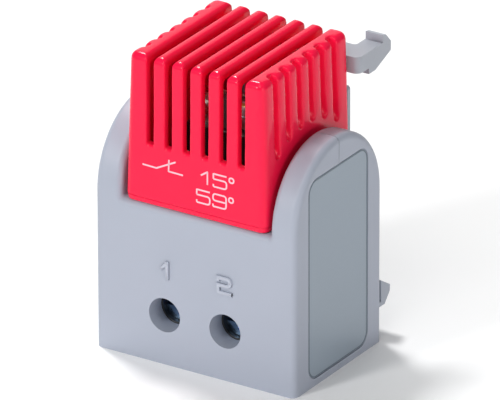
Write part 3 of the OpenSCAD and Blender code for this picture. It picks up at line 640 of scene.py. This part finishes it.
def roundedFrame(low, high, inset):
    # the label's outline in Y and Z, moved inwards by inset mm round the same corner centres
    radius = (labelEdgeShadow["cornerRadius"] - inset) * mm
    y0, y1, z0, z1 = (low[1] + inset * mm, high[1] - inset * mm, low[2] + inset * mm, high[2] - inset * mm)
    corners = ((y1 - radius, z1 - radius), (y0 + radius, z1 - radius), (y0 + radius, z0 + radius),
               (y1 - radius, z0 + radius))
    points = []
    for quarter, (y, z) in enumerate(corners):
        for k in range(labelEdgeShadow["cornerSteps"] + 1):
            angle = math.radians(90 * (quarter + k / labelEdgeShadow["cornerSteps"]))
            points.append((y + radius * math.cos(angle), z + radius * math.sin(angle)))
    return points


def buildLabelEdgeShadow():
    low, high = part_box("side_label")
    bm = bmesh.new()
    loops = []
    for inset in (labelEdgeShadow["inset"], labelEdgeShadow["inset"] + labelEdgeShadow["line"]):
        points = roundedFrame(low, high, inset)
        for out in (0, labelEdgeShadow["rise"] * mm):
            loops.append([bm.verts.new((high[0] + out, y, z)) for y, z in points])
    under, top, innerUnder, innerTop = loops
    count = len(under)
    for first, second in ((under, top), (top, innerTop), (innerTop, innerUnder), (innerUnder, under)):
        for i in range(count):
            k = (i + 1) % count
            bm.faces.new((first[i], first[k], second[k], second[i]))
    # this line is painted shade, in a dark colour laid on the label's edge
    linkPiece("labelEdgeShadow", meshFrom(bm, "labelEdgeShadow"), "frame", edgeShadowPaint)


buildLabelEdgeShadow()
print("label outlined")


# the edges of the CAD parts, softened by a narrow rounding, as mould and press leave them
softEdges = {
    # width of the rounding in mm
    "widths": {"housing": 0.18, "rear_cover": 0.12, "rail_latch": 0.15, "carrier": 0.12,
               "terminal_screw_1": 0.1, "terminal_screw_2": 0.1, "cover_screws": 0.06},
    "segments": 2,
    "sharperThan": 40,      # degrees between two faces
}


def softenEdges():
    for name, width in softEdges["widths"].items():
        piece = nodes[name]
        # the CAD mesh has a vertex for each face at an edge; one of them is kept
        addModifier(piece, "weld", "WELD", {"merge_threshold": weldDistance})
        addModifier(piece, "softEdge", "BEVEL",
                    {"width": width * mm, "segments": softEdges["segments"], "limit_method": "ANGLE",
                     "angle_limit": math.radians(softEdges["sharperThan"])})
        # where a short edge leaves the rounding no width, its flat faces are merged away
        addModifier(piece, "mergeSlivers", "WELD", {"merge_threshold": weldDistance})
        addModifier(piece, "evenShade", "WEIGHTED_NORMAL", {"keep_sharp": True})


softenEdges()
print("edges softened")


# a plain pale floor and soft studio light
studio = {
    "floorSize": 6,         # metres
    "floorColour": "ffffff", "floorRoughness": 0.8,
    "skyColour": "ffffff", "skyStrength": 0.16,
    "aim": (0, 0, 0.024),   # metres, where all the lights point
    # place and size in metres, power in watts
    "lights": {
        "keyLight": ((0.15, -0.95, 1.3), 1.0, 6.5),
        "frontLight": ((-0.45, -1.28, 0.65), 0.26, 8),
        "topLight": ((-0.62, 0.3, 1.33), 0.3, 12.5),
        "backLight": ((-0.75, 1.2, 0.8), 1.6, 5.5),
        "fillLight": ((1.15, -0.55, 0.2), 0.6, 3.8),
    },
}


def buildFloor():
    half = studio["floorSize"] / 2
    bm = bmesh.new()
    bm.faces.new([bm.verts.new((x * half, y * half, 0)) for x, y in ((-1, -1), (1, -1), (1, 1), (-1, 1))])
    # painted board: an even white that spreads the light
    board, _, shader, _ = newMaterial("paintedBoard")
    shader.inputs["Base Color"].default_value = fromHex(studio["floorColour"])
    shader.inputs["Roughness"].default_value = studio["floorRoughness"]
    floor = bpy.data.objects.new("floor", meshFrom(bm, "floor"))
    floor.data.materials.append(board)
    bpy.context.scene.collection.objects.link(floor)


def buildSky():
    world = bpy.data.worlds.new("studioSky")
    bpy.context.scene.world = world
    world.use_nodes = True
    sky = world.node_tree.nodes["Background"]
    sky.inputs["Color"].default_value = fromHex(studio["skyColour"])
    sky.inputs["Strength"].default_value = studio["skyStrength"]


def buildLights():
    for name, (spot, size, power) in studio["lights"].items():
        lamp = bpy.data.lights.new(name, "AREA")
        lamp.shape = "DISK"
        lamp.size = size
        lamp.energy = power
        light = bpy.data.objects.new(name, lamp)
        bpy.context.scene.collection.objects.link(light)
        light.location = spot
        light.rotation_euler = (Vector(studio["aim"]) - Vector(spot)).to_track_quat("-Z", "Y").to_euler()


def setView():
    # the floor's white stays white, and the cap's red keeps its strength
    view = bpy.context.scene.view_settings
    view.view_transform = "Standard"
    view.look = "None"
    view.exposure = 0
    view.gamma = 1


buildFloor()
buildSky()
buildLights()
setView()
print("studio lit")
